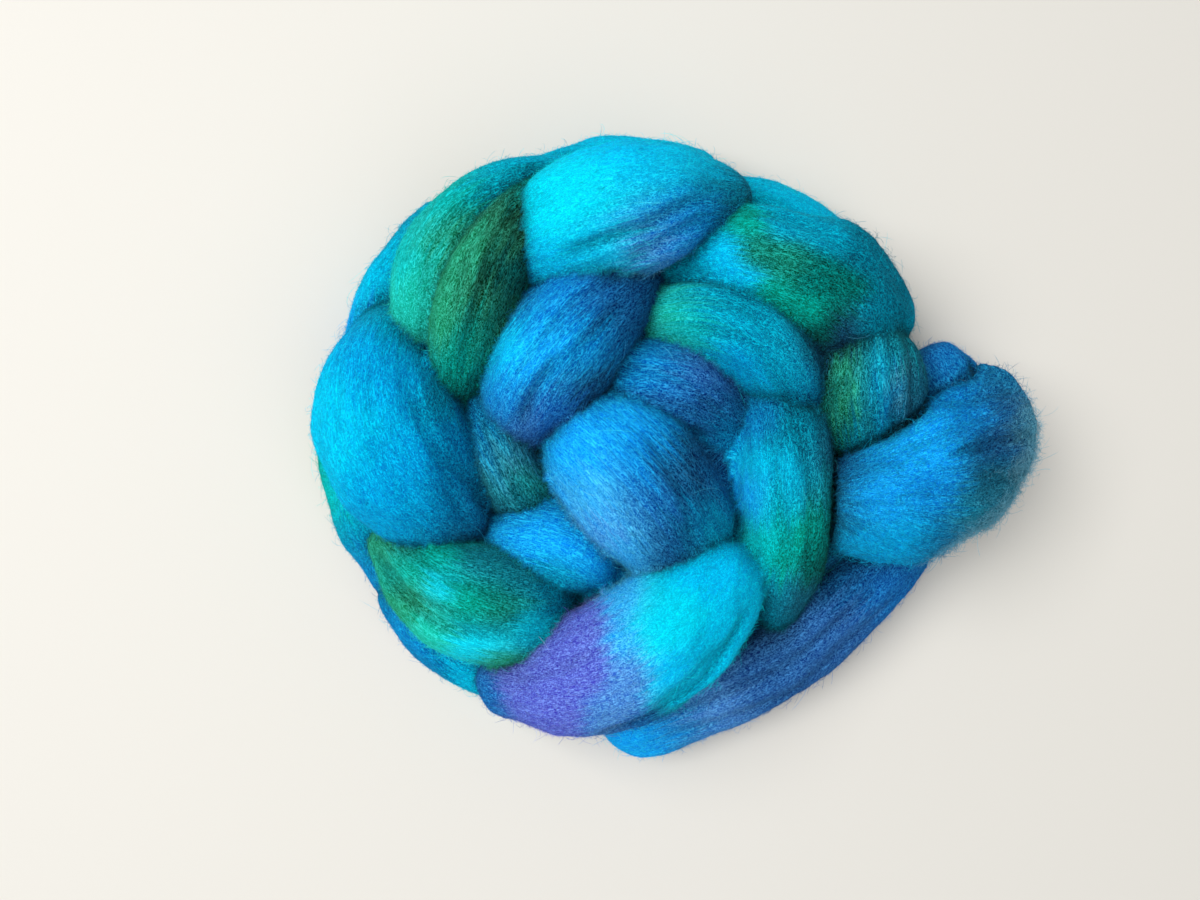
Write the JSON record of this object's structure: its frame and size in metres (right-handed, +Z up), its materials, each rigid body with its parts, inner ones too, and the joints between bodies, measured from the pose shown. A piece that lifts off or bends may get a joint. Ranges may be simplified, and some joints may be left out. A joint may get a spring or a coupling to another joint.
{
  "type": "coiled wool top braid",
  "caption": "Hand-dyed unspun wool top, finger-chained and coiled flat: soft plump loops in blue, cyan, green and violet with a frayed loose end, kept for hand spinning.",
  "frame": {"origin": "on the surface that the coil rests on, under the middle of its overall box", "axes": "+Z up from the surface, +X towards the loose end, +Y across the coil to the left of +X"},
  "size_m": [0.2386, 0.2138, 0.0691],
  "materials": {
    "dyed_wool_coil": "matte, soft and fuzzy combed wool, hand dyed in blue, cyan, green and violet",
    "dyed_wool_end": "matte, soft and fuzzy combed wool, hand dyed azure to dark teal blue"
  },
  "bodies": {
    "root": {"braid_coil": "dyed_wool_coil", "loose_end": "dyed_wool_end"}
  },
  "joints": []
}
